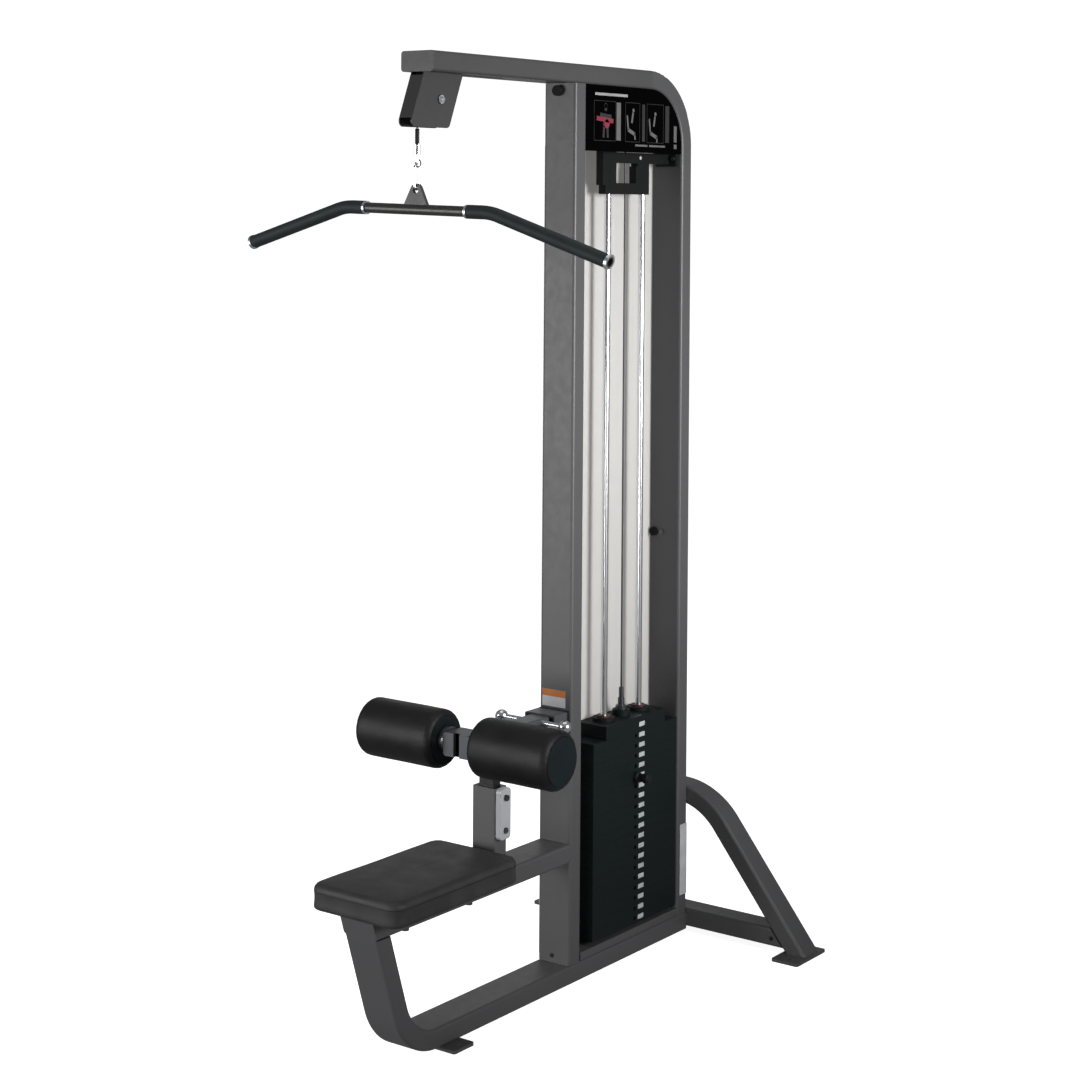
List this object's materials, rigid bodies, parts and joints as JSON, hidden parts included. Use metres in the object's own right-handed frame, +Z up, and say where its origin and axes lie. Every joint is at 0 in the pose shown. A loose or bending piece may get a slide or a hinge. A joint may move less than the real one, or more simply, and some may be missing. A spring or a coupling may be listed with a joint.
{
  "type": "lat pulldown machine",
  "caption": "Free-standing lat pulldown machine: bent bar on a cable over two pulleys, guided weight stack, seat and thigh rollers on a sliding post.",
  "frame": {"origin": "on the floor, under the middle of the machine's whole outline", "axes": "+Z up, +Y from the seat towards the weight stack, +X to the right of a seated user who faces the stack"},
  "size_m": [1.1085, 1.447, 2.381],
  "materials": {
    "frame_paint": "dark grey powder coat",
    "plate_paint": "black painted steel plates",
    "black_paint": "satin black",
    "chrome": "polished",
    "steel": "zinc plated",
    "hub_paint": "blue-grey satin",
    "vinyl": "black upholstery vinyl",
    "board": "plywood",
    "grip_rubber": "moulded black",
    "black_rubber": "matt black",
    "black_plastic": "moulded black",
    "cap_plastic": "greenish grey end caps",
    "shield_plastic": "translucent white",
    "placard_board": "black printed board",
    "pulley_plastic": "moulded nylon",
    "bush_plastic": "dark red nylon",
    "cable_coat": "coated steel cable"
  },
  "bodies": {
    "frame": {"base_beam": "frame_paint", "front_leg": "frame_paint", "seat_beam": "frame_paint", "front_upright": "frame_paint", "rear_upright": "frame_paint", "top_arm": "frame_paint", "stabiliser_crown": "frame_paint", "stabiliser_legs": "frame_paint", "stabiliser_crossbeam": "frame_paint", "foot_plates": "frame_paint", "pulley_housing": "frame_paint", "pulley_axles": "steel", "rear_pulley_hangers": "frame_paint", "cable_over_pulleys": "cable_coat", "cable_front_drop": "cable_coat", "cable_rear_drop": "cable_coat", "guide_rods": "chrome", "rod_bracket": "black_paint", "frame_bolts": "steel", "back_shield": "shield_plastic", "rubber_bumpers": "black_rubber", "placard": "placard_board", "stack_base": "frame_paint", "stack_cushions": "black_rubber", "resting_plates": "plate_paint", "seat_board": "board", "seat_pad": "vinyl", "post_sleeve": "frame_paint", "sleeve_bush": "black_plastic", "lock_block": "steel"},
    "front_pulley": {"front_pulley": "pulley_plastic", "front_bearing": "steel"},
    "rear_pulley": {"rear_pulley": "pulley_plastic", "rear_bearing": "steel"},
    "lifted_stack": {"selector_head": "plate_paint", "selector_stem": "chrome", "head_bushes": "bush_plastic", "lifted_plates": "plate_paint", "cable_terminal": "steel"},
    "selector_pin": {"pin_shaft": "chrome", "pin_knob": "black_plastic"},
    "lock_pin": {"lock_pin": "steel"},
    "carriage": {"inner_post": "chrome", "post_glide": "black_plastic", "carriage_arm": "hub_paint", "guide_shoe": "black_plastic", "roller_axle": "chrome", "lift_handle": "chrome"},
    "roller_left": {"roller_pad_left": "vinyl", "roller_core_left": "cap_plastic"},
    "roller_right": {"roller_pad_right": "vinyl", "roller_core_right": "cap_plastic"},
    "connector": {"swivel_housing": "chrome"},
    "hook": {"swivel_eye": "chrome", "carabiner_hook": "chrome"},
    "hook_gate": {"carabiner_gate": "chrome"},
    "lat_bar": {"bar_hanger": "frame_paint", "bar_tube": "frame_paint", "bar_grips": "grip_rubber", "bar_collars": "steel"}
  },
  "joints": [
    {"name": "stack_lift", "type": "slide", "parent": "frame", "child": "lifted_stack", "axis": [0, 0, 1], "range_m": [0, 0.98], "deforming": ["cable_rear_drop"]},
    {"name": "cable_pull", "type": "slide", "parent": "frame", "child": "connector", "axis": [0, 0, -1], "range_m": [0, 0.98], "deforming": ["cable_front_drop"]},
    {"name": "bar_swivel", "type": "hinge", "parent": "connector", "child": "hook", "pos_m": [0, -0.516, 2.113], "axis": [0, 0, 1], "continuous": true},
    {"name": "gate_open", "type": "hinge", "parent": "hook", "child": "hook_gate", "pos_m": [0, -0.507, 2.0641], "axis": [1, 0, 0], "range_deg": [0, 16], "stiffness_Nm_per_rad": 0.05, "springref_deg": -5.73},
    {"name": "bar_tip", "type": "hinge", "parent": "hook", "child": "lat_bar", "pos_m": [0, -0.516, 2.0495], "axis": [0, 1, 0], "range_deg": [-12, 12]},
    {"name": "front_pulley_turn", "type": "hinge", "parent": "frame", "child": "front_pulley", "pos_m": [0, -0.454, 2.267], "axis": [1, 0, 0], "continuous": true},
    {"name": "rear_pulley_turn", "type": "hinge", "parent": "frame", "child": "rear_pulley", "pos_m": [0, 0.3, 2.288], "axis": [1, 0, 0], "continuous": true},
    {"name": "pin_pull", "type": "slide", "parent": "lifted_stack", "child": "selector_pin", "axis": [1, 0, 0], "range_m": [0, 0.08]},
    {"name": "lock_pull", "type": "slide", "parent": "frame", "child": "lock_pin", "axis": [1, 0, 0], "range_m": [0, 0.008], "stiffness_N_per_m": 400, "springref_m": -0.005},
    {"name": "pad_height", "type": "slide", "parent": "frame", "child": "carriage", "axis": [0, 0, 1], "range_m": [0, 0.1]},
    {"name": "roller_left_spin", "type": "hinge", "parent": "carriage", "child": "roller_left", "pos_m": [-0.15, -0.32, 0.699], "axis": [1, 0, 0], "continuous": true},
    {"name": "roller_right_spin", "type": "hinge", "parent": "carriage", "child": "roller_right", "pos_m": [0.15, -0.32, 0.699], "axis": [1, 0, 0], "continuous": true}
  ],
  "couplings": [
    {"joint": "cable_pull", "follows": "stack_lift", "ratio": 1},
    {"joint": "front_pulley_turn", "follows": "stack_lift", "rad_per_m": 16.129},
    {"joint": "rear_pulley_turn", "follows": "stack_lift", "rad_per_m": 16.129}
  ]
}
